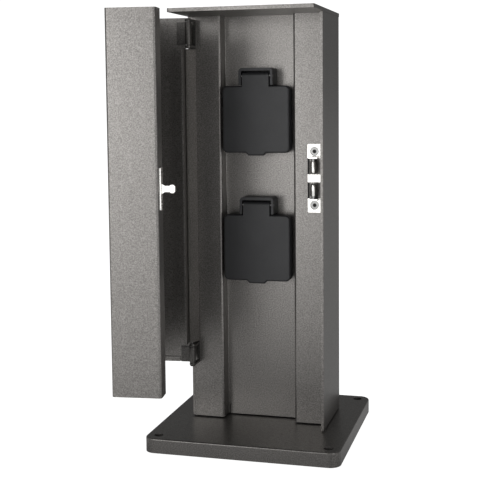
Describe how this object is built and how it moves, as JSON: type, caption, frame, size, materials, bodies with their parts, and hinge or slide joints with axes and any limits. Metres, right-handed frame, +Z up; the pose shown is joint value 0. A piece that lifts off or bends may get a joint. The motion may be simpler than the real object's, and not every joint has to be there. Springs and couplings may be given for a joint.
{
  "type": "garden socket post",
  "caption": "Free-standing outdoor power post with a screw-down base, a hinged weather door on a spring catch and lidded panel sockets in a recess.",
  "frame": {"origin": "middle of the base plate's underside, on the ground plane, at the centre of its four screw holes", "axes": "+Z up; the open front looks along -Y; +X is to the right of someone facing the open front, on the catch side"},
  "size_m": [0.1744, 0.2195, 0.355],
  "materials": {
    "coat": "anthracite fine-textured metallic powder coat",
    "steel": "zinc-plated steel",
    "nickel": "bright nickel plate",
    "lid_plastic": "satin black moulded plastic",
    "insert_plastic": "smooth black moulded plastic",
    "brass": "drawn brass",
    "rubber": "matt black rubber",
    "terminal_plastic": "matt light grey moulded plastic"
  },
  "bodies": {
    "post": {"base_plate": "coat", "cable_grommet": "rubber", "cap_plate": "coat", "cap_screws": "steel", "catch_guide_lower": "steel", "catch_guide_upper": "steel", "catch_housing": "nickel", "catch_screws": "steel", "catch_spring_lower": "steel", "catch_spring_upper": "steel", "column_shell": "coat", "contact_sleeves_lower": "brass", "contact_sleeves_upper": "brass", "door_stop_strip": "coat", "earth_clip_lower": "steel", "earth_clip_upper": "steel", "earth_nut": "brass", "earth_stud": "brass", "earth_washer": "brass", "foot_angles": "steel", "foot_screws": "steel", "front_frame": "coat", "hinge_bracket_lower": "coat", "hinge_bracket_upper": "coat", "hinge_pins": "coat", "lid_pin_lower": "steel", "lid_pin_upper": "steel", "lid_spring_lower": "steel", "lid_spring_upper": "steel", "socket_gasket_lower": "rubber", "socket_gasket_upper": "rubber", "socket_housing_lower": "lid_plastic", "socket_housing_upper": "lid_plastic", "socket_insert_lower": "insert_plastic", "socket_insert_upper": "insert_plastic", "socket_rear_cover_lower": "lid_plastic", "socket_rear_cover_upper": "lid_plastic", "socket_screws_lower": "steel", "socket_screws_upper": "steel", "terminal_block": "terminal_plastic", "terminal_screws": "steel", "top_angles": "steel"},
    "door": {"door_panel": "coat", "strike_plate": "nickel", "strike_rivets": "coat", "hinge_leaf_upper": "coat", "hinge_leaf_lower": "coat", "leaf_rivets": "coat"},
    "lid_upper": {"lid_upper": "lid_plastic", "lid_seal_upper": "rubber"},
    "lid_lower": {"lid_lower": "lid_plastic", "lid_seal_lower": "rubber"},
    "plunger_upper": {"catch_plunger_upper": "nickel"},
    "plunger_lower": {"catch_plunger_lower": "nickel"}
  },
  "joints": [
    {"name": "door_hinge", "type": "hinge", "parent": "post", "child": "door", "pos_m": [-0.0546, -0.0262, 0.2], "axis": [0, 0, 1], "range_deg": [-12, 83.2]},
    {"name": "lid_hinge_upper", "type": "hinge", "parent": "post", "child": "lid_upper", "pos_m": [0, -0.0162, 0.3023], "axis": [1, 0, 0], "range_deg": [-100, 0], "stiffness_Nm_per_rad": 0.03, "springref_deg": 20.05},
    {"name": "lid_hinge_lower", "type": "hinge", "parent": "post", "child": "lid_lower", "pos_m": [0, -0.0162, 0.1958], "axis": [1, 0, 0], "range_deg": [-100, 0], "stiffness_Nm_per_rad": 0.03, "springref_deg": 20.05},
    {"name": "plunger_slide_upper", "type": "slide", "parent": "post", "child": "plunger_upper", "axis": [0, 0, 1], "range_m": [0, 0.0018], "stiffness_N_per_m": 150, "springref_m": -0.004, "deforming": ["catch_spring_upper"]},
    {"name": "plunger_slide_lower", "type": "slide", "parent": "post", "child": "plunger_lower", "axis": [0, 0, -1], "range_m": [0, 0.0018], "stiffness_N_per_m": 150, "springref_m": -0.004, "deforming": ["catch_spring_lower"]}
  ]
}
